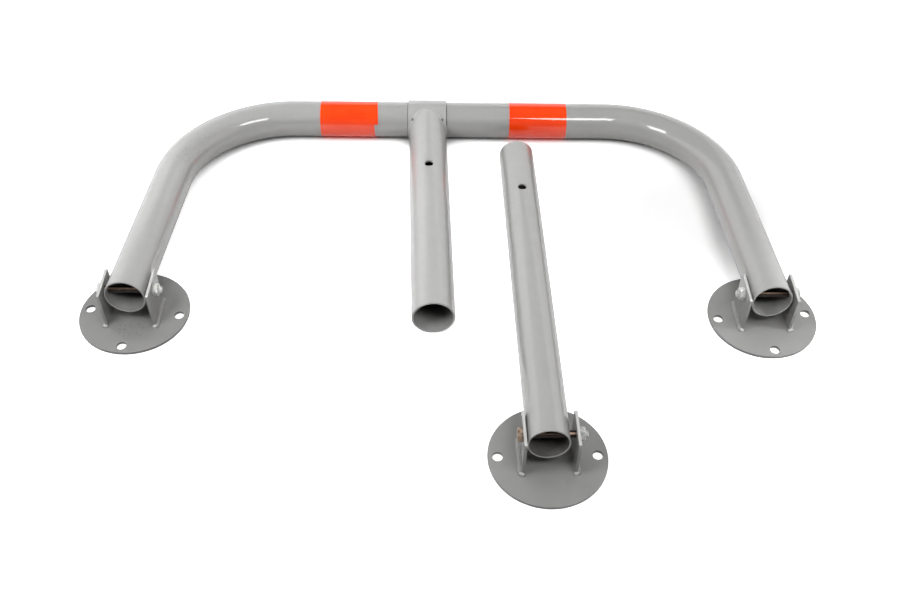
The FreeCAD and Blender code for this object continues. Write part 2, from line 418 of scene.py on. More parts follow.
def open_ring(name, radius, start, direction):
    bpy.ops.mesh.primitive_circle_add(
        vertices=TUBE_SIDES, radius=radius, location=start, rotation=toward(direction)
    )
    return fresh(name)


def draw_on(run):
    bpy.ops.mesh.extrude_region_move(TRANSFORM_OT_translate={"value": run})


def walled(piece, wall, rim):
    # Gives an open tube its wall, and rounds the rims of the cut ends
    outward(piece)
    two_slots(piece)
    modify(piece, "SOLIDIFY", thickness=wall, offset=-1.0, use_even_offset=True, material_offset=1)
    soften(piece, rim, 3)


def straight_tube(name, radius, wall, start, direction, stops, rim):
    # Stops are the places of the loops along the tube, and its end
    piece = open_ring(name, radius, start, direction)
    editing(piece)
    reached = 0.0
    for stop in (HOLD, *stops[:-1], stops[-1] - HOLD, stops[-1]):
        draw_on(direction * (stop - reached))
        reached = stop
    done_editing()
    walled(piece, wall, rim)
    return piece


def lock_stops(lock, end):
    return lock - LOCK_ROOM, lock, lock + LOCK_ROOM, end


# Finishes


MASK = {"Mask": "Float"}
SKIN = {"Color": "Color", "Roughness": "Float", "Height": "Float"}


def shader_group(name, outputs, **inputs):
    # Every group takes a place or a normal as its first input
    group = bpy.data.node_groups.new(name, "ShaderNodeTree")
    sockets = group.interface
    for label, kind in {"Vector": "Vector", **inputs}.items():
        sockets.new_socket(label, in_out="INPUT", socket_type="NodeSocket" + kind)
    for label, kind in outputs.items():
        sockets.new_socket(label, in_out="OUTPUT", socket_type="NodeSocket" + kind)
    given = group.nodes.new("NodeGroupInput").outputs
    return group, given, group.nodes.new("NodeGroupOutput").inputs


def add_node(tree, kind, options=(), **values):
    node = tree.nodes.new("ShaderNode" + kind)
    for key, value in options:
        setattr(node, key, value)
    for label, value in values.items():
        node.inputs[label.replace("_", " ")].default_value = value
    return node


def feed(tree, item, socket):
    if isinstance(item, (int, float, tuple)):
        socket.default_value = item
    else:
        tree.links.new(item, socket)


def noise(tree, place, scale, detail=2.0, roughness=0.5):
    node = add_node(tree, "TexNoise", Detail=detail, Roughness=roughness)
    feed(tree, place, node.inputs["Vector"])
    feed(tree, scale, node.inputs["Scale"])
    return node.outputs["Fac"]


def ranged(tree, value, low, high, to_low, to_high):
    node = add_node(tree, "MapRange", [("interpolation_type", "SMOOTHSTEP")])
    limits = {"From Min": low, "From Max": high, "To Min": to_low, "To Max": to_high}
    for label, number in limits.items():
        feed(tree, number, node.inputs[label])
    feed(tree, value, node.inputs["Value"])
    return node.outputs["Result"]


def maths(tree, operation, first, second, kind="Math"):
    node = add_node(tree, kind, [("operation", operation)])
    feed(tree, first, node.inputs[0])
    feed(tree, second, node.inputs[1])
    return node.outputs["Value"]


def mixed(tree, share, first, second):
    # A colour is a socket or three numbers
    node = add_node(tree, "Mix", [("data_type", "RGBA")])
    feed(tree, share, node.inputs[0])
    for tone, socket in ((first, node.inputs[6]), (second, node.inputs[7])):
        feed(tree, tone if isinstance(tone, bpy.types.NodeSocket) else (*tone, 1.0), socket)
    return node.outputs[2]


def along(tree, place, axis):
    split = add_node(tree, "SeparateXYZ")
    feed(tree, place, split.inputs[0])
    return split.outputs[axis]


def paint_skin():
    # Sprayed paint: slow mottle, clouds, orange peel and fine specks of dust
    group, given, result = shader_group("Paint skin", SKIN, Colour="Color", Gloss="Float")
    pale, dull, dust = (0.55, 0.54, 0.53), (0.16, 0.155, 0.15), (0.10, 0.095, 0.09)
    place = given["Vector"]
    mottle = noise(group, place, 14.0, 4.0, 0.6)
    cloud = noise(group, place, 70.0, 3.0)
    peel = noise(group, place, 520.0)
    specks = noise(group, place, 900.0, 1.0)
    shade = mixed(group, ranged(group, mottle, 0.3, 0.7, 0.0, 0.07), given["Colour"], pale)
    shade = mixed(group, ranged(group, cloud, 0.35, 0.75, 0.0, 0.035), shade, dull)
    shade = mixed(group, ranged(group, specks, 0.70, 0.78, 0.0, 0.16), shade, dust)
    uneven = ranged(group, cloud, 0.3, 0.7, -0.06, 0.08)
    feed(group, shade, result["Color"])
    feed(group, maths(group, "ADD", given["Gloss"], uneven), result["Roughness"])
    feed(group, maths(group, "ADD", peel, maths(group, "MULTIPLY", cloud, 0.6)), result["Height"])
    return group


def local_marks():
    # Marks round one spot: weld spatter on a plate, scuffs on a bend, or one solid mark, such as
    # the painted shade in the tee weld's pits and the painted highlights on the lug welds' front
    # ends
    group, given, result = shader_group(
        "Local marks", MASK, Spot="Vector", Reach="Float", Grain="Float", Solid="Float"
    )
    away = maths(group, "DISTANCE", given["Vector"], given["Spot"], "VectorMath")
    near = ranged(group, maths(group, "DIVIDE", away, given["Reach"]), 0.35, 1.0, 1.0, 0.0)
    grain = noise(group, given["Vector"], given["Grain"], 2.0, 0.6)
    marks = maths(group, "MAXIMUM", ranged(group, grain, 0.56, 0.66, 0.0, 1.0), given["Solid"])
    feed(group, maths(group, "MULTIPLY", near, marks), result["Mask"])
    return group


def painted_seam_shade():
    # A thin ragged line on each side of a ring that sits on a bar along X: painted shade for the
    # shadow in the gap between ring and bar
    group, given, result = shader_group("Seam grime", MASK, Middle="Float", Half="Float")
    away = along(group, given["Vector"], "X")
    for label in ("Middle", "Half"):
        away = maths(group, "ABSOLUTE", maths(group, "SUBTRACT", away, given[label]), 0.0)
    ragged = maths(group, "MULTIPLY", noise(group, given["Vector"], 180.0), 0.8 * MM)
    away = maths(group, "DIVIDE", maths(group, "ADD", away, ragged), SEAM_WIDTH)
    feed(group, ranged(group, away, 0.5, 1.0, 1.0, 0.0), result["Mask"])
    return group


def facing_mask():
    # How squarely a surface faces one way; it masks the painted highlights on the lugs' top edges
    # and the shanks' upper front
    group, given, result = shader_group("Facing", MASK, Way="Vector", Start="Float", Full="Float")
    squarely = maths(group, "DOT_PRODUCT", given["Vector"], given["Way"], "VectorMath")
    feed(group, ranged(group, squarely, given["Start"], given["Full"], 0.0, 1.0), result["Mask"])
    return group


def zinc_plating():
    # Plating with a cloudy bloom and fine tool marks
    group, given, result = shader_group(
        "Zinc plating", SKIN, Colour="Color", Bloom="Color", Gloss="Float"
    )
    bloom = noise(group, given["Vector"], 160.0, 4.0, 0.65)
    scratch = noise(group, given["Vector"], 1400.0)
    share = ranged(group, bloom, 0.38, 0.68, 0.0, 1.0)
    uneven = ranged(group, bloom, 0.3, 0.7, -0.06, 0.12)
    feed(group, mixed(group, share, given["Colour"], given["Bloom"]), result["Color"])
    feed(group, maths(group, "ADD", given["Gloss"], uneven), result["Roughness"])
    feed(group, scratch, result["Height"])
    return group


GROUPS = {
    "Paint skin": paint_skin,
    "Local marks": local_marks,
    "Seam grime": painted_seam_shade,
    "Facing": facing_mask,
    "Zinc plating": zinc_plating,
}


def place_group(tree, name, place, **values):
    group = bpy.data.node_groups.get(name) or GROUPS[name]()
    node = add_node(tree, "Group", [("node_tree", group)], **values)
    feed(tree, place, node.inputs["Vector"])
    return node.outputs


def facing(tree, way, start, full):
    normal = add_node(tree, "TexCoord").outputs["Normal"]
    return place_group(tree, "Facing", normal, Way=way, Start=start, Full=full)["Mask"]


def new_finish(name, **constants):
    material = bpy.data.materials.new(name)
    material.use_nodes = True
    tree = material.node_tree
    shader = tree.nodes["Principled BSDF"].inputs
    for label, value in constants.items():
        shader[label.replace("_", " ")].default_value = value
    return material, tree, shader, add_node(tree, "TexCoord").outputs["Object"]


def raise_skin(tree, shader, height, strength, distance):
    bump = add_node(tree, "Bump", Strength=strength, Distance=distance)
    feed(tree, height, bump.inputs["Height"])
    feed(tree, bump.outputs["Normal"], shader["Normal"])


GLOSS_COAT = {"Coat_Weight": 1.0, "Coat_IOR": 1.6}
PAINT_GLOSS = {"tube_paint": 0.42, "sleeve_paint_lit": 0.42, "base_paint_shaded": 0.46, "hole_wall_shade": 0.5}
SEAM_SHARE = 0.85
SEAM_WIDTH = 2 * MM
# How far paint mist covers the inside of each tube's mouth; the pale mouths are partly painted
# light
MIST_AND_LIGHT_SHARES = {"hoop": 0.75, "tee": 1.0, "post": 0.25}
# Ways that a surface faces, with the start and the full of their masks; each mask places a
# painted highlight
LUG_TOP_HIGHLIGHT = ((0.0, 0.0, 1.0), 0.6, 0.9)
SHANK_HIGHLIGHT_WAY = ((0.0, -0.5, 0.866), 0.94, 0.985)


def painted(name, paint, marks=(), seam=(), bright=()):
    # Paint names a colour; a mark is a spot, its reach, the grain of its specks (0 for a solid
    # one), its tone and how far it shows; a seam is the middle and the half length of a ring, and
    # a painted shade line goes beside its ends; bright is a way with the start and full of a mask
    # that gets a painted highlight
    colours = bpy.context.scene.barrier_colours
    material, tree, shader, place = new_finish(name, Coat_Roughness=0.03, **GLOSS_COAT)
    values = {"Colour": (*getattr(colours, paint), 1.0), "Gloss": PAINT_GLOSS[paint]}
    skin = place_group(tree, "Paint skin", place, **values)
    shade = skin["Color"]
    height = skin["Height"]
    for mark_spot, reach, grain, tone, share in marks:
        values = {"Spot": mark_spot, "Reach": reach, "Grain": grain, "Solid": 0.0 if grain else 1.0}
        mask = place_group(tree, "Local marks", place, **values)["Mask"]
        shown = maths(tree, "MULTIPLY", mask, share)
        shade = mixed(tree, shown, shade, tone)
        height = maths(tree, "ADD", height, shown)
    # Painted shade beside the ring's ends, for the shadow in the gap between ring and bar
    if seam:
        mask = place_group(tree, "Seam grime", place, Middle=seam[0], Half=seam[1])["Mask"]
        shade = mixed(tree, maths(tree, "MULTIPLY", mask, SEAM_SHARE), shade, colours.seam_shade)
    # Faces turned the bright way get a painted highlight
    if bright:
        shade = mixed(tree, facing(tree, *bright), shade, colours.painted_highlight)
    feed(tree, shade, shader["Base Color"])
    feed(tree, skin["Roughness"], shader["Roughness"])
    raise_skin(tree, shader, height, 0.10, 0.4 * MM)
    return material


def bore_finish(name, mouths, share):
    # Paint mist near the open mouths, dark mill scale further in; the pale mouths are partly
    # painted light and the dark depth partly painted shade
    colours = bpy.context.scene.barrier_colours
    material, tree, shader, place = new_finish(name, Specular_IOR_Level=0.3)
    scale = noise(tree, place, 90.0, 4.0, 0.65)
    worn_scale = (0.075, 0.066, 0.060)
    shade = mixed(tree, ranged(tree, scale, 0.35, 0.7, 0.0, 1.0), colours.bore, worn_scale)
    for mouth in mouths:
        away = maths(tree, "DISTANCE", place, tuple(mouth), "VectorMath")
        ragged = maths(tree, "ADD", away, maths(tree, "MULTIPLY", scale, 12 * MM))
        # Paler towards the mouth: paint mist and painted light
        mist_and_light = ranged(tree, ragged, 34 * MM, 75 * MM, share, 0.0)
        shade = mixed(tree, mist_and_light, shade, colours.bore_mist_and_light)
    feed(tree, shade, shader["Base Color"])
    feed(tree, ranged(tree, scale, 0.3, 0.7, 0.5, 0.75), shader["Roughness"])
    raise_skin(tree, shader, scale, 0.15, 0.4 * MM)
    return material


def plated(name, tint, bloom, gloss, highlight_tone=()):
    # The last argument is the colour of a painted highlight along the upper front of a shank
    material, tree, shader, place = new_finish(name, Metallic=0.45)
    values = {"Colour": (*tint, 1.0), "Bloom": (*bloom, 1.0), "Gloss": gloss}
    plating = place_group(tree, "Zinc plating", place, **values)
    shade = plating["Color"]
    if highlight_tone:
        shade = mixed(tree, facing(tree, *SHANK_HIGHLIGHT_WAY), shade, highlight_tone)
    feed(tree, shade, shader["Base Color"])
    feed(tree, plating["Roughness"], shader["Roughness"])
    raise_skin(tree, shader, plating["Height"], 0.12, 0.15 * MM)
    return material


def tape_finish():
    # Glossy film over fine glass beads, laid a little unevenly
    colours = bpy.context.scene.barrier_colours
    light, deep = (0.95, 0.13, 0.012), (0.85, 0.025, 0.004)
    material, tree, shader, place = new_finish(
        "reflective_tape",
        Coat_Roughness=0.025,
        Specular_IOR_Level=0.05,
        # The emission is painted light, a glow standing in for the beads sending light back
        Emission_Color=(*colours.tape_glow, 1.0),
        Emission_Strength=1.0,
        **GLOSS_COAT,
    )
    beads = add_node(tree, "TexVoronoi", Scale=750.0)
    feed(tree, place, beads.inputs["Vector"])
    cell = ranged(tree, beads.outputs["Distance"], 0.0, 0.7, 0.0, 0.16)
    cloud = noise(tree, place, 45.0, 3.0)
    shade = mixed(tree, cell, colours.tape, light)
    shade = mixed(tree, ranged(tree, cloud, 0.35, 0.7, 0.0, 0.25), shade, deep)
    feed(tree, shade, shader["Base Color"])
    feed(tree, ranged(tree, cloud, 0.3, 0.7, 0.30, 0.42), shader["Roughness"])
    grain = maths(tree, "MULTIPLY", beads.outputs["Distance"], 0.02)
    raise_skin(tree, shader, maths(tree, "ADD", noise(tree, place, 60.0), grain), 0.15, 1.2 * MM)
    return material


# Hoop


def hoop_tube(sizes):
    # Drawn flat, with the hinge along X through the origin, then laid on its slope
    splay = sizes.hoop_splay
    bend = math.pi / 2 - splay
    tangent = sizes.bend_radius * math.tan(bend / 2)
    leg = Vector((-math.sin(splay), math.cos(splay), 0))
    bolt = Vector((LEG_SPACING / 2, 0, 0))
    corner = bolt + leg * (HINGE_TO_BAR / math.cos(splay))
    foot = bolt - leg * sizes.overhang
    bend_start = corner - leg * tangent
    bend_centre = bend_start + Vector((-leg.y, leg.x, 0)) * sizes.bend_radius
    other_centre = Vector((-bend_centre.x, bend_centre.y, 0))
    leg_down = Vector((leg.x, -leg.y, 0))
    piece = open_ring("hoop", sizes.hoop_od / 2, foot, leg)
    editing(piece)
    draw_on(leg * HOLD)
    draw_on(bend_start - foot - leg * HOLD)
    bpy.ops.mesh.spin(steps=BEND_STEPS, angle=-bend, center=bend_centre, axis=Z_AXIS)
    draw_on(X_AXIS * (-2 * bend_centre.x))
    bpy.ops.mesh.spin(steps=BEND_STEPS, angle=-bend, center=other_centre, axis=Z_AXIS)
    draw_on(leg_down * ((bend_start - foot).length - HOLD))
    draw_on(leg_down * HOLD)
    done_editing()
    walled(piece, sizes.hoop_wall, sizes.rim_round)
    for side in (-1, 1):
        drill(piece, sizes.pivot_hole / 2, bolt * side, X_AXIS, sizes.hoop_od)
    return put(piece, Vector((0, HINGE.y, HINGE.z)), tilt=-HOOP_SLOPE)


class BARRIER_OT_hoop(bpy.types.Operator):
    """Bend the hoop from one tube, with open mouths at its feet"""

    bl_idname = "barrier.hoop"
    bl_label = "Hoop tube"

    def execute(self, context):
        scuff = (0.22, 0.21, 0.20)
        marks = [
            ((-0.437, 0.215, 0.06), 0.05, 210.0, scuff, 0.35),
            ((-0.405, 0.262, 0.06), 0.04, 260.0, scuff, 0.25),
        ]
        sizes = context.scene.barrier_sizes
        # The seam adds a painted shade line beside each end of the ring
        paint = painted("hoop_paint", "tube_paint", marks, (BAR.x, RING_SIZE.x / 2))
        foot_y = HINGE.y - sizes.overhang
        feet = [Vector((side * LEG_SPACING / 2, foot_y, HINGE.z)) for side in (-1, 1)]
        bore = bore_finish("hoop_bore", feet, MIST_AND_LIGHT_SHARES["hoop"])
        finished(hoop_tube(sizes), [paint, bore], "hoop", "grey_paint", "hoop_tube")
        return {"FINISHED"}


# Reflective bands

# Room between bar and tape, how many thicknesses the lap stands off, and how early it lifts
TAPE_GAP = 0.1 * MM
LAP_LIFT = 1.5
LAP_LEAD = 2
# Where each strip starts, in degrees from the bar's top, and its share of the width there
TAPE_STARTS = {"left": (48, 0.93), "right": (215, 0.985)}


def tape_band(name, sizes, centre_x, start_turn, start_share):
    # A strip wound once round the bar, a little narrower where it starts, with its end lapped
    # over the start
    step_angle = 2 * math.pi / TAPE_STEPS
    radius = sizes.hoop_od / 2 + TAPE_GAP
    half = sizes.band_width / 2
    axis_spot = Vector((centre_x, BAR.y, BAR.z))
    left_edge = axis_spot - X_AXIS * half
    turn = Matrix.Rotation(start_turn, 3, "X")
    bpy.ops.mesh.primitive_plane_add(
        size=sizes.band_width,
        location=axis_spot + turn @ Vector((0, half, radius)),
        rotation=turn.to_euler(),
    )
    piece = fresh(name)
    editing(piece)
    choose(piece, "VERT", lambda place: math.hypot(place.y - BAR.y, place.z - BAR.z) > 2 * radius)
    bpy.ops.mesh.delete(type="VERT")
    bpy.ops.mesh.select_all(action="SELECT")
    bpy.ops.mesh.subdivide(number_cuts=TAPE_CUTS)
    bpy.ops.transform.resize(value=(start_share, 1, 1), center_override=left_edge)
    widen = start_share ** (-1 / TAPE_STEPS)
    lift = 1 + LAP_LIFT * sizes.tape_thickness / radius
    for step in range(TAPE_STEPS + TAPE_LAP_STEPS):
        bpy.ops.mesh.spin(steps=1, angle=-step_angle, center=axis_spot, axis=X_AXIS)
        if step < TAPE_STEPS:
            bpy.ops.transform.resize(value=(widen, 1, 1), center_override=left_edge)
        if step == TAPE_STEPS - LAP_LEAD:
            bpy.ops.transform.resize(value=(1, lift, lift), center_override=axis_spot)
    done_editing()
    outward(piece)
    modify(piece, "SOLIDIFY", thickness=sizes.tape_thickness, offset=1.0)
    return piece


class BARRIER_OT_bands(bpy.types.Operator):
    """Wind the two bands of reflective tape on the crossbar"""

    bl_idname = "barrier.bands"
    bl_label = "Reflective bands"

    def execute(self, context):
        sizes = context.scene.barrier_sizes
        tape = tape_finish()
        middles = {"left": sizes.left_band_x, "right": sizes.right_band_x}
        for side, (degrees, share) in TAPE_STARTS.items():
            piece = tape_band(side + "_band", sizes, middles[side], math.radians(degrees), share)
            finished(piece, [tape], "hoop", "reflective_tape", "reflective_bands")
        return {"FINISHED"}


# Tee


def swivel_ring(sizes):
    start = BAR - X_AXIS * (RING_SIZE.x / 2)
    wall, stops = sizes.ring_wall, (RING_SIZE.x,)
    return straight_tube("ring", RING_RADIUS, wall, start, X_AXIS, stops, sizes.rim_round)


def sleeve_way(sizes):
    # The sleeve leaves the bar square but for its skew, and its mouth lies on the ground
    drop = math.asin((RING_RADIUS - sizes.sleeve_od / 2) / sizes.sleeve_length)
    flat = Vector((math.sin(sizes.sleeve_skew), -math.cos(sizes.sleeve_skew), 0))
    return Matrix.Rotation(drop, 3, "X") @ flat


def strut_sleeve(sizes):
    way = sleeve_way(sizes)
    lock = sizes.bar_to_lock
    stops = lock_stops(lock, sizes.sleeve_length)
    radius = sizes.sleeve_od / 2
    piece = straight_tube("sleeve", radius, sizes.sleeve_wall, BAR, way, stops, sizes.rim_round)
    drill(piece, RING_RADIUS, BAR, X_AXIS, RING_SIZE.x, TUBE_SIDES)
    up = X_AXIS.cross(-way).normalized()
    drill(piece, sizes.lock_hole / 2, BAR + way * lock, up, sizes.sleeve_od)
    return piece


def puddle(place, radius):
    bpy.ops.mesh.primitive_uv_sphere_add(
        segments=PUDDLE_SIDES, ring_count=PUDDLE_RINGS, radius=radius, location=place
    )


def weld_run(name, puddles, voxel):
    # A weld laid as one puddle after the other; each puddle is a place and a radius
    puddle(*puddles[0])
    piece = fresh(name)
    editing(piece)
    for place, radius in puddles[1:]:
        puddle(place, radius)
    done_editing()
    modify(piece, "REMESH", mode="VOXEL", voxel_size=voxel)
    modify(piece, "SMOOTH", factor=0.5, iterations=2)
    return piece


# Where the tee's weld has its pits, in degrees from its top
TEE_WELD_PIT = 52
# How far it stands out of the crease, in millimetres, by degrees from its top
TEE_WELD = (
    (0, 0.4), (15, 1.0), (28, 2.2), (40, 3.0), (46, 2.4),
    (TEE_WELD_PIT, 0.3), (60, 1.6), (80, 1.8), (120, 1.6), (180, 0.8),
)
TEE_UNEVEN = 0.12
TEE_PUDDLE = 7 * MM
# The weld reaches this far into the ring and the sleeve
RING_BITE = 0.4 * MM
SLEEVE_BITE = MM


def between(table, where):
    for (low, first), (high, second) in zip(table, table[1:]):
        if where <= high:
            return first + (second - first) * (where - low) / (high - low)
    return table[-1][1]


def tee_crease(sizes, turn):
    # The point of the line where sleeve meets ring at a turn about the sleeve, and the way into
    # the metal
    way = sleeve_way(sizes)
    across = Vector((-way.y, way.x, 0)).normalized()
    up = way.cross(across).normalized()
    rim = (across * math.cos(turn) + up * math.sin(turn)) * (sizes.sleeve_od / 2)
    reach = math.sqrt(RING_RADIUS ** 2 - min(rim.z ** 2, RING_RADIUS ** 2))
    from_bar = rim + way * ((reach + rim.y) / -way.y)
    off_ring = Vector((0, from_bar.y, from_bar.z)).normalized()
    return BAR + from_bar, -(off_ring + rim.normalized()).normalized()


def sleeve_weld(sizes):
    # Smooth at the top, where sleeve and ring are almost flush, with a full bead down both sides
    draw = random.Random(7)
    puddles = []
    for step in range(TEE_WELD_STEPS):
        turn = 2 * math.pi * step / TEE_WELD_STEPS
        from_top = math.degrees(math.acos(min(1.0, max(-1.0, math.sin(turn)))))
        crease, inward = tee_crease(sizes, turn)
        bulge = (between(TEE_WELD, from_top) + draw.uniform(-TEE_UNEVEN, TEE_UNEVEN)) * MM
        puddles.append((crease + inward * (TEE_PUDDLE - bulge), TEE_PUDDLE))
    piece = weld_run("tee_weld", puddles, TEE_WELD_VOXEL)
    drill(piece, RING_RADIUS - RING_BITE, BAR, X_AXIS, RING_SIZE.x, TUBE_SIDES)
    inside = sizes.sleeve_od / 2 - SLEEVE_BITE
    drill(piece, inside, BAR, sleeve_way(sizes), 2 * RING_SIZE.z, TUBE_SIDES)
    return piece


class BARRIER_OT_tee(bpy.types.Operator):
    """Make the ring on the crossbar, the sleeve coped to it and the weld between them"""

    bl_idname = "barrier.tee"
    bl_label = "Tee"

    def execute(self, context):
        sizes = context.scene.barrier_sizes
        shadow = (0.07, 0.07, 0.068)
        pits = [math.radians(90 + way * TEE_WELD_PIT) for way in (-1, 1)]
        marks = [(tee_crease(sizes, pit)[0], 4 * MM, 0.0, shadow, 0.85) for pit in pits]
        # The tee's paler paint is painted light
        paint = painted("tee_paint", "sleeve_paint_lit", marks)
        mouth = BAR + sleeve_way(sizes) * sizes.sleeve_length
        bore = bore_finish("tee_bore", [mouth], MIST_AND_LIGHT_SHARES["tee"])
        finished(swivel_ring(sizes), [paint, bore], "tee", "grey_paint", "swivel_ring")
        finished(strut_sleeve(sizes), [paint, bore], "tee", "grey_paint", "strut_sleeve")
        finished(sleeve_weld(sizes), [paint], "tee", "grey_paint", "sleeve_weld")
        return {"FINISHED"}


# Strut post


def strut_post(sizes):
    # Drawn along +Y from its pivot, then laid down until its far end is on the ground
    radius = sizes.post_od / 2
    reach = sizes.post_reach
    lock = sizes.post_to_lock
    start = Vector((-sizes.post_shift, -sizes.overhang, 0))
    stops = [sizes.overhang + stop for stop in lock_stops(lock, reach)]
    piece = straight_tube("post", radius, sizes.post_wall, start, Y_AXIS, stops, sizes.rim_round)
    drill(piece, sizes.pivot_hole / 2, Vector(), X_AXIS, sizes.post_od)
    drill(piece, sizes.lock_hole / 2, Vector((-sizes.post_shift, lock, 0)), Z_AXIS, sizes.post_od)
    slope = math.asin(POST_PIVOT.z / math.hypot(reach, radius)) - math.atan(radius / reach)
    return put(piece, POST_PIVOT, turn=CENTRE_TURN, tilt=-slope)


class BARRIER_OT_post(bpy.types.Operator):
    """Make the strut post with its lock hole"""

    bl_idname = "barrier.post"
    bl_label = "Strut post"

    def execute(self, context):
        sizes = context.scene.barrier_sizes
        way = Vector((-math.sin(CENTRE_TURN), math.cos(CENTRE_TURN), 0))
        far_end = Vector((POST_PIVOT.x, POST_PIVOT.y, sizes.post_od / 2)) + way * sizes.post_reach
        near_end = POST_PIVOT - way * sizes.overhang
        bore = bore_finish("post_bore", [near_end, far_end], MIST_AND_LIGHT_SHARES["post"])
        paint = painted("post_paint", "tube_paint")
        finished(strut_post(sizes), [paint, bore], "post", "grey_paint", "strut_post")
        return {"FINISHED"}


# Bases


def base_plate(name, sizes, hole_count):
    piece = rod(name, PLATE_SIDES, PLATE_SIZE.x / 2, Vector(), Z_AXIS, PLATE_SIZE.z)
    for step in range(hole_count):
        turn = 2 * math.pi * step / hole_count
        place = Vector((math.cos(turn), math.sin(turn), 0)) * (sizes.anchor_circle / 2)
        drill(piece, sizes.anchor_hole / 2, place, Z_AXIS, 2 * PLATE_SIZE.z)
    soften(piece, sizes.plate_round)
    two_slots(piece)
    # The upright faces inside the anchor circle, the holes' walls, take the second slot: painted
    # shade
    inside = sizes.anchor_circle / 2 + sizes.anchor_hole
    for face in piece.data.polygons:
        upright = abs(face.normal.z) < 0.5
        if upright and face.center.xy.length < inside:
            face.material_index = 1
    return piece


class BARRIER_OT_plates(bpy.types.Operator):
    """Make the three round base plates with their anchor holes"""

    bl_idname = "barrier.plates"
    bl_label = "Base plates"

    def execute(self, context):
        sizes = context.scene.barrier_sizes
        spatter_spot = LEFT_SPOT + Vector((0, -0.035, PLATE_SIZE.z))
        spatter = [(spatter_spot, 30 * MM, 420.0, (0.12, 0.12, 0.118), 0.6)]
        # Near black hole walls, painted shade
        hole_shade = painted("hole_walls", "hole_wall_shade")
        for side, base in BASES.items():
            piece = base_plate(side + "_plate", sizes, base.hole_count)
            put(piece, base.spot, base.turn + base.plate_share * sizes.plate_turn)
            marks = spatter if side == "left" else ()
            # The plates' darker base paint is painted shade
            paint = painted(side + "_plate_paint", "base_paint_shaded", marks)
            finished(piece, [paint, hole_shade], "bases", "grey_paint", side + "_base_plate")
        return {"FINISHED"}


def lug(sizes):
    # The lug on the +X side of a base, in the base's own frame
    bpy.ops.mesh.primitive_cube_add(size=1, location=LUG_MIDDLE, scale=LUG_SIZE)
    piece = fresh("lug")
    top = LUG_MIDDLE.z + LUG_SIZE.z / 2
    side_y = LUG_SIZE.y / 2
    for way in (-1, 1):
        editing(piece)
        choose(piece, "EDGE", lambda place: place.z > top - MM and place.y * way > side_y - MM)
        bpy.ops.mesh.bevel(offset=sizes.lug_corner, segments=6, affect="EDGES")
        done_editing()
    drill(piece, sizes.pivot_hole / 2, Vector((0, 0, HINGE.z)), X_AXIS, 2 * LUG_OUTSIDE)
    soften(piece, sizes.lug_round)
    return piece


LUG_NODES = {
    "left": ("left_outer_lug", "left_inner_lug"),
    "right": ("right_inner_lug", "right_outer_lug"),
    "centre": ("centre_left_lug", "centre_right_lug"),
}


class BARRIER_OT_lugs(bpy.types.Operator):
    """Make the six lugs that carry the pivot bolts"""

    bl_idname = "barrier.lugs"
    bl_label = "Lugs"

    def execute(self, context):
        pattern = lug(context.scene.barrier_sizes)
        # Lugs: the darker base paint is painted shade, and their tops get a painted highlight
        paint = painted("lug_paint", "base_paint_shaded", bright=LUG_TOP_HIGHLIGHT)
        for side, base in BASES.items():
            for way, node in zip((-1, 1), LUG_NODES[side]):
                piece = copied(pattern, node + "_plate")
                put(piece, Vector(((way - 1) * LUG_MIDDLE.x, 0, 0)))
                finished(put(piece, base.spot, base.turn), [paint], "bases", "grey_paint", node)
        removed(pattern)
        return {"FINISHED"}


def lug_weld(name, sizes, seed, way):
    # A rippled bead along the outside foot of a lug, and a round blob at the lug's front edge
    draw = random.Random(seed)
    top = PLATE_SIZE.z
    half = LUG_SIZE.y / 2
    foot = way * LUG_OUTSIDE
    start = -half + 4 * MM
    length = 2 * half - 9 * MM
    puddles = []
    for step in range(LUG_WELD_STEPS):
        place_y = start + length * step / (LUG_WELD_STEPS - 1)
        radius = sizes.weld_size * draw.uniform(0.86, 1.03)
        puddles.append((Vector((foot, place_y + draw.uniform(-0.4, 0.4) * MM, top)), radius))
    run = weld_run(name, puddles, LUG_WELD_VOXEL)
    editing(run)
    slice_off((foot, 0, 0), (way, 0, 0))
    slice_off((0, 0, top), Z_AXIS)
    done_editing()
    front = Vector((way * LUG_MIDDLE.x, -half, top))
    blob = [
        (front + Vector((draw.uniform(-1, 1) * MM, -0.5 * MM, 0)), draw.uniform(3.6, 4.4) * MM),
        (front + Vector((way * 2.5 * MM, 0.5 * MM, 0)), draw.uniform(3.8, 4.8) * MM),
    ]
    blob = weld_run("blob", blob, LUG_WELD_VOXEL)
    editing(blob)
    slice_off((0, 0, top), Z_AXIS)
    done_editing()
    return joined([run, blob], name)


# How strongly the painted highlight on the front ends of the beads shows at each base
WELD_END_HIGHLIGHTS = {"left": 0.9, "right": 0.7, "centre": 0.45}


class BARRIER_OT_lug_welds(bpy.types.Operator):
    """Lay the weld beads at the feet of the lugs"""

    bl_idname = "barrier.lug_welds"
    bl_label = "Lug welds"

    def execute(self, context):
        sizes = context.scene.barrier_sizes
        # Painted highlight on the beads' front ends, over the darker base paint that is painted
        # shade
        bright = tuple(context.scene.barrier_colours.painted_highlight)
        front_y = -LUG_SIZE.y / 2 - 2 * MM
        ends = []
        for side, share in WELD_END_HIGHLIGHTS.items():
            for way in (-1, 1):
                end = Vector((way * (LUG_MIDDLE.x + MM), front_y, PLATE_SIZE.z + 3 * MM))
                ends.append((BASES[side].spot + end, 4.5 * MM, 0.0, bright, share))
        paint = painted("lug_weld_paint", "base_paint_shaded", ends)
        for index, (side, base) in enumerate(BASES.items()):
            pair = [lug_weld("run", sizes, 10 * index + way, way) for way in (-1, 1)]
            piece = put(joined(pair, side + "_lug_welds"), base.spot, base.turn)
            finished(piece, [paint], "bases", "grey_paint", "lug_welds")
        return {"FINISHED"}


# Pivot bolts and nuts

HEX_EDGE = 0.25 * MM
NUT_PLAY = 0.05 * MM
NEAR = 0.01 * MM
# How far shank and head, and shank and thread, run into each other
BOLT_LAP = MM
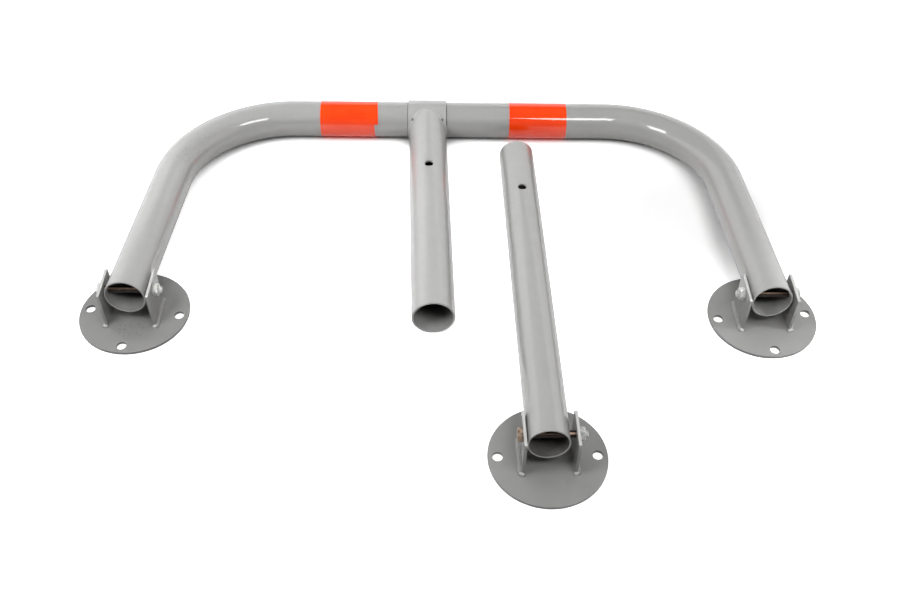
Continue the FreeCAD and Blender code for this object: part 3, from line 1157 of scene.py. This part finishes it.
# How each fastener was left by the spanner, in degrees
SPANNER_TURNS = {"left": 14, "right": 41, "centre": 25}


def hexagon(name, sizes, height, chamfered):
    # A hexagon along +X from the origin; chamfered lists the ends whose corners are turned off
    corner = sizes.hex_flats / math.sqrt(3)
    piece = rod(name, 6, corner, Vector(), X_AXIS, height)
    turning = rod("turning", TURNING_SIDES, corner + sizes.hex_chamfer, Vector(), X_AXIS, height)
    for end in chamfered:
        editing(turning)
        choose(turning, "EDGE", lambda place: abs(place.x - end * height) < NEAR)
        bpy.ops.mesh.bevel(offset=2 * sizes.hex_chamfer, segments=1, affect="EDGES")
        done_editing()
    combine(piece, turning, "INTERSECT")
    return piece


def thread(sizes, start, length):
    # A sharp profile swept along a helix, cut square at both ends
    pitch = sizes.thread_pitch
    turns = math.ceil(length / pitch) + 2
    bpy.ops.mesh.primitive_plane_add(
        size=pitch / math.sqrt(2),
        location=(start - pitch, 0, sizes.bolt_od / 2 - pitch / 2),
        rotation=(math.pi / 2, math.pi / 4, 0),
    )
    piece = fresh("thread")
    editing(piece)
    low = sizes.bolt_od / 2 - 0.75 * pitch
    choose(piece, "VERT", lambda place: place.z < low)
    bpy.ops.mesh.delete(type="VERT")
    done_editing()
    steps = {"steps": THREAD_SIDES, "render_steps": THREAD_SIDES}
    modify(piece, "SCREW", axis="X", screw_offset=pitch, iterations=turns, **steps)
    editing(piece)
    bpy.ops.mesh.remove_doubles(threshold=MERGE)
    slice_off((start, 0, 0), X_AXIS)
    slice_off((start + length, 0, 0), X_AXIS, front=True)
    done_editing()
    outward(piece)
    return piece


def pivot_bolt(sizes):
    # Head against the lug on the -X side, thread end past the nut on the +X side, about the origin
    head = hexagon("bolt", sizes, sizes.head_height, (1,))
    put(head, Vector((-LUG_OUTSIDE, 0, 0)), turn=math.pi)
    soften(head, HEX_EDGE)
    start = Vector((-LUG_OUTSIDE - BOLT_LAP, 0, 0))
    length = 2 * LUG_OUTSIDE + BOLT_LAP
    shank = rod("shank", SHANK_SIDES, sizes.bolt_od / 2, start, X_AXIS, length)
    thread_length = BOLT_LAP + sizes.nut_height + sizes.thread_end
    screw = thread(sizes, LUG_OUTSIDE - BOLT_LAP, thread_length)
    # Joining keeps three slots apart only where they hold different materials
    for index, piece in enumerate((head, shank, screw)):
        for name in ("head_slot", "shank_slot", "thread_slot"):
            slot = bpy.data.materials.get(name) or bpy.data.materials.new(name)
            piece.data.materials.append(slot)
        for face in piece.data.polygons:
            face.material_index = index
    return joined([head, shank, screw], "bolt")


def pivot_nut(sizes):
    nut = hexagon("nut", sizes, sizes.nut_height, (0, 1))
    drill(nut, sizes.bolt_od / 2 + NUT_PLAY, Vector(), X_AXIS, 2 * sizes.nut_height)
    soften(nut, HEX_EDGE)
    return put(nut, Vector((LUG_OUTSIDE, 0, 0)))


def spread_fasteners(pattern, name, finishes, node):
    # A copy at each base, each turned about its own axis
    for side, base in BASES.items():
        piece = copied(pattern, side + name)
        put(piece, Vector(), tilt=math.radians(SPANNER_TURNS[side]))
        place = Vector((base.spot.x, base.spot.y, HINGE.z))
        put(piece, place, base.turn + (0 if base.nut_side > 0 else math.pi))
        finished(piece, finishes[side], "bases", "zinc_steel", node)
    removed(pattern)


class BARRIER_OT_bolts(bpy.types.Operator):
    """Make the three pivot bolts"""

    bl_idname = "barrier.bolts"
    bl_label = "Pivot bolts"

    def execute(self, context):
        colours = context.scene.barrier_colours
        # A painted highlight along the upper front of each shank
        highlight_tone = tuple(colours.shank_highlight)
        pale = plated("bolt_zinc", colours.zinc, (0.50, 0.49, 0.47), 0.30)
        warm = plated("bolt_warm_zinc", colours.warm_zinc, (0.20, 0.12, 0.08), 0.36)
        # The shank's near black brown is partly painted shade
        shank = plated("bolt_shank", colours.shank, (0.018, 0.013, 0.010), 0.45, highlight_tone)
        finishes = dict.fromkeys(BASES, [pale, shank, pale])
        finishes["centre"] = [warm, shank, pale]
        spread_fasteners(pivot_bolt(context.scene.barrier_sizes), "_bolt", finishes, "pivot_bolts")
        return {"FINISHED"}


class BARRIER_OT_nuts(bpy.types.Operator):
    """Make the three nuts"""

    bl_idname = "barrier.nuts"
    bl_label = "Nuts"

    def execute(self, context):
        colours = context.scene.barrier_colours
        bright = plated("nut_zinc", colours.zinc, (0.55, 0.55, 0.54), 0.26)
        finishes = dict.fromkeys(BASES, [bright])
        spread_fasteners(pivot_nut(context.scene.barrier_sizes), "_nut", finishes, "pivot_nuts")
        return {"FINISHED"}


# Stage

FLOOR_SIZE = 16.0
FLOOR_DROP = 0.5 * MM
WALL_RADIUS = 7.0
WALL_HEIGHT = 5.0
SENSOR_WIDTH = 36.0
SHADOW_SPOT = (0.385, 0.16, 0.0)
MIDDLE_SPOT = (0.0, 0.2, 0.0)
RIGHT_BASE_SPOT = (0.60, -0.18, 0.0)
SLEEVE_SPOT = (-0.2, 0.12, 0.0)
# Each lamp: what it points at, its width and height, and whether mirrors see it
LAMPS = {
    "right_flash": (MIDDLE_SPOT, 0.96, 0.42, True),
    "left_flash": (MIDDLE_SPOT, 0.60, 0.50, True),
    "right_side": (RIGHT_BASE_SPOT, 0.2, 0.2, False),
    "left_side": (SLEEVE_SPOT, 0.3, 0.3, False),
    "ceiling": (MIDDLE_SPOT, 2.0, 2.0, False),
}


def pale_finish(name, colours, glow):
    # Matt and pale; glow says how far the eye and how far a mirror see it lifted towards white
    material = bpy.data.materials.new(name)
    material.use_nodes = True
    tree = material.node_tree
    tree.nodes.remove(tree.nodes["Principled BSDF"])
    path = add_node(tree, "LightPath").outputs
    mirror = maths(tree, "MAXIMUM", path["Is Glossy Ray"], path["Is Transmission Ray"])
    eye = maths(tree, "MAXIMUM", path["Is Camera Ray"], mirror)
    matt = add_node(tree, "BsdfDiffuse")
    feed(tree, mixed(tree, eye, colours.floor_bounce, colours.floor), matt.inputs["Color"])
    to_eye, to_mirror = glow(tree, add_node(tree, "TexCoord").outputs["Object"])
    seen = maths(tree, "MULTIPLY", path["Is Camera Ray"], to_eye)
    mirrored = maths(tree, "MULTIPLY", mirror, to_mirror)
    light = add_node(tree, "Emission", Color=(1.0, 1.0, 1.0, 1.0))
    feed(tree, maths(tree, "ADD", seen, mirrored), light.inputs["Strength"])
    both = add_node(tree, "AddShader")
    feed(tree, matt.outputs[0], both.inputs[0])
    feed(tree, light.outputs[0], both.inputs[1])
    feed(tree, both.outputs[0], tree.nodes["Material Output"].inputs["Surface"])
    return material


def floor_glow(tree, place):
    # White but for the contact shadow, and less so at a fixed spot inside the right leg, a painted
    # shadow that stays there in every pose; mirrors see it fade out behind the camera
    occlusion = add_node(tree, "AmbientOcclusion", Distance=0.03).outputs["AO"]
    from_shadow = maths(tree, "DISTANCE", place, SHADOW_SPOT, "VectorMath")
    shadow = ranged(tree, from_shadow, 0.06, 0.24, 0.0, 0.65)
    near = maths(tree, "MULTIPLY", ranged(tree, occlusion, 0.20, 0.42, 0.0, 1.0), shadow)
    from_middle = maths(tree, "DISTANCE", place, (0.0, 0.0, 0.0), "VectorMath")
    far = ranged(tree, from_middle, 0.6, 1.2, 0.0, 1.0)
    ahead = ranged(tree, along(tree, place, "Y"), -2.0, -0.6, 0.1, 1.0)
    return maths(tree, "MAXIMUM", near, far), maths(tree, "MULTIPLY", far, ahead)


def wall_glow(tree, place):
    # White to the eye; mirrors see a dim room behind the camera
    return 1.0, ranged(tree, along(tree, place, "Y"), -5.0, 0.0, 0.2, 1.0)


def studio_world(fill):
    world = bpy.data.worlds.new("studio")
    bpy.context.scene.world = world
    world.use_nodes = True
    world.node_tree.nodes["Background"].inputs["Color"].default_value = (*fill, 1.0)


def soft_box(name, stage):
    aim, width, height, mirrored = LAMPS[name]
    place = Vector(getattr(stage, name))
    bpy.ops.object.light_add(type="AREA", location=place, rotation=toward(place - Vector(aim)))
    lamp = bpy.context.active_object
    lamp.name = name
    lamp.data.shape = "RECTANGLE"
    lamp.data.size = width
    lamp.data.size_y = height
    lamp.data.energy = getattr(stage, name + "_power")
    lamp.data.spread = getattr(stage, name + "_spread", math.pi)
    lamp.visible_glossy = mirrored


def photo_camera(stage):
    yaw, pitch, roll = stage.camera_yaw, stage.camera_pitch, stage.camera_roll
    level_share = math.cos(pitch)
    ahead = Vector((math.sin(yaw) * level_share, math.cos(yaw) * level_share, math.sin(pitch)))
    level = Vector((math.cos(yaw), -math.sin(yaw), 0))
    down = ahead.cross(level)
    right = level * math.cos(roll) + down * math.sin(roll)
    up = level * math.sin(roll) - down * math.cos(roll)
    bpy.ops.object.camera_add(location=stage.camera_spot)
    camera = bpy.context.active_object
    camera.name = "photo_camera"
    camera.rotation_euler = Matrix((right, up, -ahead)).transposed().to_euler()
    camera.data.sensor_width = SENSOR_WIDTH
    camera.data.lens = stage.camera_lens
    bpy.context.scene.camera = camera


class BARRIER_OT_stage(bpy.types.Operator):
    """Lay the floor, hang the lamps and set the camera"""

    bl_idname = "barrier.stage"
    bl_label = "Stage"

    def execute(self, context):
        stage = context.scene.barrier_stage
        context.scene.view_settings.view_transform = "Standard"
        colours = context.scene.barrier_colours
        bpy.ops.mesh.primitive_plane_add(size=FLOOR_SIZE, location=(0, 0, -FLOOR_DROP))
        floor = fresh("floor")
        floor.data.materials.append(pale_finish("pale_floor", colours, floor_glow))
        bpy.ops.mesh.primitive_cylinder_add(
            vertices=WALL_SIDES,
            radius=WALL_RADIUS,
            depth=WALL_HEIGHT,
            location=(0, 0, WALL_HEIGHT / 2),
            end_fill_type="NOTHING",
        )
        wall = fresh("wall")
        wall.data.materials.append(pale_finish("pale_wall", colours, wall_glow))
        studio_world(stage.fill)
        for name in LAMPS:
            soft_box(name, stage)
        photo_camera(stage)
        return {"FINISHED"}


# Panel and registration


OPERATORS = (
    BARRIER_OT_hoop,
    BARRIER_OT_bands,
    BARRIER_OT_tee,
    BARRIER_OT_post,
    BARRIER_OT_plates,
    BARRIER_OT_lugs,
    BARRIER_OT_lug_welds,
    BARRIER_OT_bolts,
    BARRIER_OT_nuts,
    BARRIER_OT_stage,
)


class BARRIER_PT_sidebar(bpy.types.Panel):
    """Lists the barrier's sizes, colours and building steps"""

    bl_idname = "BARRIER_PT_sidebar"
    bl_label = "Folding parking barrier"
    bl_space_type = "VIEW_3D"
    bl_region_type = "UI"
    bl_category = "Barrier"

    def draw(self, context):
        scene = context.scene
        for group in (scene.barrier_sizes, scene.barrier_colours, scene.barrier_stage):
            column = self.layout.column(align=True)
            for name in group.__annotations__:
                column.prop(group, name)
        for operator in OPERATORS:
            self.layout.operator(operator.bl_idname)


CLASSES = (BarrierSizes, BarrierColours, BarrierStage, *OPERATORS, BARRIER_PT_sidebar)


def register():
    for kind in CLASSES:
        bpy.utils.register_class(kind)
    bpy.types.Scene.barrier_sizes = PointerProperty(type=BarrierSizes)
    bpy.types.Scene.barrier_colours = PointerProperty(type=BarrierColours)
    bpy.types.Scene.barrier_stage = PointerProperty(type=BarrierStage)


def unregister():
    del bpy.types.Scene.barrier_stage
    del bpy.types.Scene.barrier_colours
    del bpy.types.Scene.barrier_sizes
    for kind in reversed(CLASSES):
        bpy.utils.unregister_class(kind)


def main():
    register()
    bpy.ops.barrier.hoop()
    bpy.ops.barrier.bands()
    bpy.ops.barrier.tee()
    bpy.ops.barrier.post()
    bpy.ops.barrier.plates()
    bpy.ops.barrier.lugs()
    bpy.ops.barrier.lug_welds()
    bpy.ops.barrier.bolts()
    bpy.ops.barrier.nuts()
    bpy.ops.barrier.stage()


if __name__ == "__main__":
    main()
